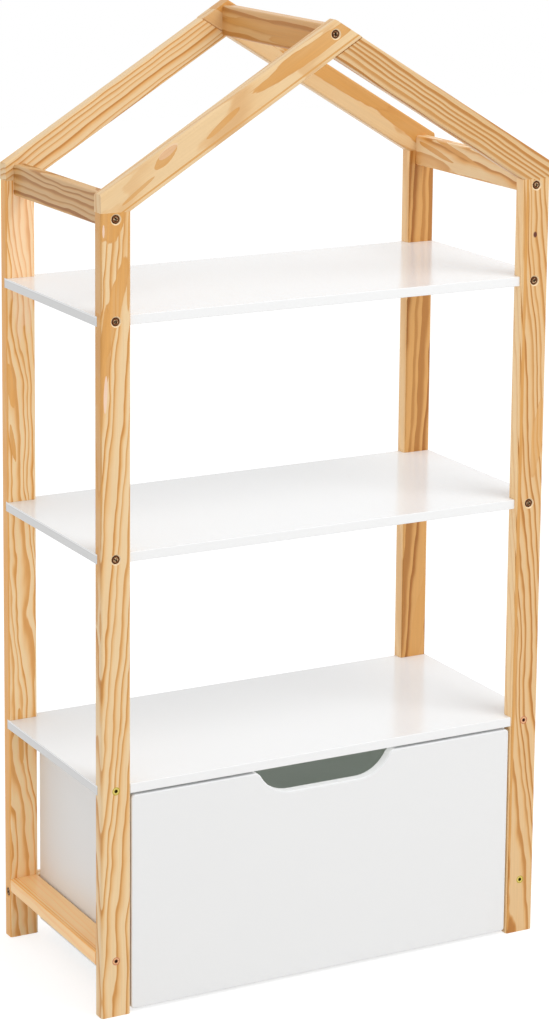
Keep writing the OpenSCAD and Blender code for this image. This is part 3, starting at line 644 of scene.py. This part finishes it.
class BOOKCASE_OT_drawer(bpy.types.Operator):
    """Finish the drawer's boards in white lacquer"""

    bl_idname = "bookcase.drawer"
    bl_label = "Drawer"

    def execute(self, context):
        colours = settings(context)[0]
        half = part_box("drawer_right_side")[0].x + FACE_REACH
        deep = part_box("drawer_back")[0].y + FACE_REACH
        lip_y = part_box("drawer_front")[0].y + LIP_START

        def inner_faces(f):
            """The faces that look into the drawer, apart from the front board's, where the box
            glows faintly as painted light.
            """
            return abs(f.along(X)).under(half) * f.along(Y).under(deep)

        def scoop_lip(f):
            """The rolled edge of the scoop, behind the drawer's front face, which glows as a
            painted highlight.
            """
            in_scoop = abs(f.along(X)).under(SCOOP_HALF) * f.along(Z).over(SCOOP_LOW)
            return f.along(Y).over(lip_y) * in_scoop

        # painted highlight: the scoop's lip glows
        dress("drawer_front", white_lacquer(
            "drawer_front_lacquer", colours, FRONT_SHEEN, DRAWER_PAINTED_SHADE,
            glow=colours.lip_painted_glow, lit=scoop_lip))
        # painted light: the box boards glow faintly on their inner faces
        box = white_lacquer("drawer_box_lacquer", colours, BOX_SHEEN, DRAWER_PAINTED_SHADE,
                            glow=colours.drawer_painted_glow, lit=inner_faces)
        for node in ("drawer_left_side", "drawer_right_side", "drawer_back", "drawer_bottom"):
            dress(node, box)
        return {"FINISHED"}


class BOOKCASE_OT_castors(bpy.types.Operator):
    """Finish the castors in zinc-plated steel and rubber"""

    bl_idname = "bookcase.castors"
    bl_label = "Castors"

    def execute(self, context):
        colours = settings(context)[0]
        zinc = zinc_steel("castor_zinc", colours)
        for node in ("castor_brackets", "castor_axles", "castor_screws", "drawer_screws"):
            dress(node, zinc)
        for place in ("front_left", "front_right", "back_left", "back_right"):
            low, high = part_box(place + "_wheel")
            dress(place + "_wheel", wheel_rubber(place + "_rubber", colours, (low + high) / 2))
        return {"FINISHED"}


class BOOKCASE_OT_fasteners(bpy.types.Operator):
    """Finish the frame screws in bronze and brass, and the dowels in birch"""

    bl_idname = "bookcase.fasteners"
    bl_label = "Fasteners"

    def execute(self, context):
        colours, sizes = settings(context)
        dark = on_post(1, EAVES_SEAT, TOP_SEAT, MIDDLE_SEAT) + [Vector((0, 0, RIDGE_SEAT))]
        yellow = on_post(1, LOWER_SCREW, RAIL_SCREW)

        def coppery(f):
            """The lower screw of the left posts and the upper one of the right posts."""
            right = f.along(X).over(0.0)
            high = f.along(Z).over((LOWER_SCREW + RAIL_SCREW) / 2)
            return 1 - abs(right - high)

        dress("dark_frame_screws", screw_metal(
            "dark_bronze", colours.bronze, colours.bronze_rim, colours, sizes, dark, Y,
            metallic=0.7, glint=0.7))
        dress("brass_frame_screws", screw_metal(
            "screw_brass", colours.brass, colours.brass_rim, colours, sizes, yellow, Y,
            metallic=0.6, reddish=coppery))
        dress("cross_rail_screws", screw_metal(
            "side_bronze", colours.bronze, colours.bronze_rim, colours, sizes, [CROSS_SCREW], X,
            metallic=0.7, glint=0.6))
        dowel = birch_dowel("dowel_birch", colours)
        for node in ("roof_dowels", "rail_dowels", "drawer_dowels"):
            dress(node, dowel)
        return {"FINISHED"}


# ---------------------------------------------------------------- stage

# The photograph's viewpoint, solved for a picture of 549 x 1024: metres, degrees and pixels
CAMERA_PLACE = (-1.7693, -3.2017, 1.5641)
CAMERA_TURN = (79.958, -0.082, -26.369)
FOCAL_PIXELS, PICTURE_HIGH, PICTURE_WIDE = 2976.94, 1024, 549
LENS_CENTRE = (145, 236)
SENSOR_WIDTH, CLIP_END = 36, 50

FLOOR_SIZE, FLOOR_GAP = 14, 0.0003
FLOOR_GLOW, FLOOR_PALE = 0.73, 0.45     # as the camera sees the floor: its light, and its paint
SKY_LIGHT = 0.80
KEY_PLACE, KEY_TARGET = (1.5, -2.4, 3.8), (0, 0, 0.6)
KEY_SIZE, KEY_POWER = 2.2, 57


def white_to_camera(tree, inside, outside):
    """Shows the second shader to the camera and in gloss, and lights the scene with the first."""
    path = tree.nodes.new("ShaderNodeLightPath")
    seen = path.outputs["Is Camera Ray"]
    for name in ("Is Glossy Ray", "Is Transmission Ray"):
        both = tree.nodes.new("ShaderNodeMath")
        both.operation = "MAXIMUM"
        tree.links.new(seen, both.inputs[0])
        tree.links.new(path.outputs[name], both.inputs[1])
        seen = both.outputs[0]
    mix = tree.nodes.new("ShaderNodeMixShader")
    tree.links.new(seen, mix.inputs[0])
    tree.links.new(inside, mix.inputs[1])
    tree.links.new(outside, mix.inputs[2])
    return mix.outputs[0]


def studio_floor(tone):
    """Pale floor that keeps the object's soft shadow and meets the white background."""
    material = bpy.data.materials.new("studio_floor")
    material.use_nodes = True
    tree = material.node_tree
    tree.nodes.clear()
    matt = tree.nodes.new("ShaderNodeBsdfDiffuse")
    matt.inputs["Color"].default_value = (*tone, 1)
    glow = tree.nodes.new("ShaderNodeEmission")
    glow.inputs["Strength"].default_value = FLOOR_GLOW
    pale = tree.nodes.new("ShaderNodeBsdfDiffuse")
    pale.inputs["Color"].default_value = (FLOOR_PALE, FLOOR_PALE, FLOOR_PALE, 1)
    shown = tree.nodes.new("ShaderNodeAddShader")
    tree.links.new(pale.outputs[0], shown.inputs[0])
    tree.links.new(glow.outputs[0], shown.inputs[1])
    output = tree.nodes.new("ShaderNodeOutputMaterial")
    tree.links.new(white_to_camera(tree, matt.outputs[0], shown.outputs[0]), output.inputs[0])
    return material


def softbox(name, place, target, size, power):
    bpy.ops.object.light_add(type="AREA", location=place)
    lamp = bpy.context.object
    lamp.name = name
    lamp.data.shape, lamp.data.size, lamp.data.energy = "SQUARE", size, power
    lamp.rotation_euler = (Vector(target) - Vector(place)).to_track_quat("-Z", "Y").to_euler()


class BOOKCASE_OT_stage(bpy.types.Operator):
    """Set the floor, the soft light and the camera"""

    bl_idname = "bookcase.stage"
    bl_label = "Stage"

    def execute(self, context):
        colours = settings(context)[0]
        scene = context.scene
        scene.view_settings.view_transform = "Standard"
        bpy.ops.object.select_all(action="DESELECT")
        bpy.ops.mesh.primitive_plane_add(size=FLOOR_SIZE,
                                         location=(0, 0, CAD_BOX[0].z - FLOOR_GAP))
        floor = context.object
        floor.name = "studio_floor"
        bpy.ops.object.transform_apply(location=True, rotation=True, scale=True)
        floor.data.materials.append(studio_floor(colours.floor))

        world = bpy.data.worlds.new("studio")
        world.use_nodes = True
        scene.world = world
        tree = world.node_tree
        tree.nodes.clear()
        light = tree.nodes.new("ShaderNodeBackground")
        white = tree.nodes.new("ShaderNodeBackground")
        light.inputs["Color"].default_value = (1, 1, 1, 1)
        light.inputs["Strength"].default_value = SKY_LIGHT
        white.inputs["Color"].default_value = (1, 1, 1, 1)
        output = tree.nodes.new("ShaderNodeOutputWorld")
        tree.links.new(white_to_camera(tree, light.outputs[0], white.outputs[0]), output.inputs[0])

        softbox("key_light", KEY_PLACE, KEY_TARGET, KEY_SIZE, KEY_POWER)

        bpy.ops.object.camera_add(location=CAMERA_PLACE)
        camera = context.object
        camera.name = "photo_camera"
        camera.rotation_euler = Euler([math.radians(a) for a in CAMERA_TURN], "XYZ")
        camera.data.sensor_width = SENSOR_WIDTH
        camera.data.lens = FOCAL_PIXELS * SENSOR_WIDTH / PICTURE_HIGH
        camera.data.shift_x = (PICTURE_WIDE / 2 - LENS_CENTRE[0]) / PICTURE_HIGH
        camera.data.shift_y = (LENS_CENTRE[1] - PICTURE_HIGH / 2) / PICTURE_HIGH
        camera.data.clip_end = CLIP_END
        scene.camera = camera
        return {"FINISHED"}


STEPS = (BOOKCASE_OT_posts, BOOKCASE_OT_roof, BOOKCASE_OT_rails, BOOKCASE_OT_shelves,
         BOOKCASE_OT_drawer, BOOKCASE_OT_castors, BOOKCASE_OT_fasteners, BOOKCASE_OT_stage)


class BOOKCASE_PT_panel(bpy.types.Panel):
    """Steps, colours and sizes of the bookcase"""

    bl_idname = "BOOKCASE_PT_panel"
    bl_label = "Bookcase"
    bl_space_type = "VIEW_3D"
    bl_region_type = "UI"
    bl_category = "Bookcase"

    def draw(self, context):
        for step in STEPS:
            self.layout.operator(step.bl_idname)
        for group in settings(context):
            for name in group.bl_rna.properties.keys():
                if name not in ("rna_type", "name"):
                    self.layout.prop(group, name)


CLASSES = (BookcaseColours, BookcaseSizes, *STEPS, BOOKCASE_PT_panel)


def register():
    for cls in CLASSES:
        bpy.utils.register_class(cls)
    bpy.types.Scene.bookcase_colours = PointerProperty(type=BookcaseColours)
    bpy.types.Scene.bookcase_sizes = PointerProperty(type=BookcaseSizes)


def unregister():
    del bpy.types.Scene.bookcase_sizes
    del bpy.types.Scene.bookcase_colours
    for cls in reversed(CLASSES):
        bpy.utils.unregister_class(cls)


def main():
    register()
    for step in STEPS:
        group, name = step.bl_idname.split(".")
        getattr(getattr(bpy.ops, group), name)()


if __name__ == "__main__":
    main()
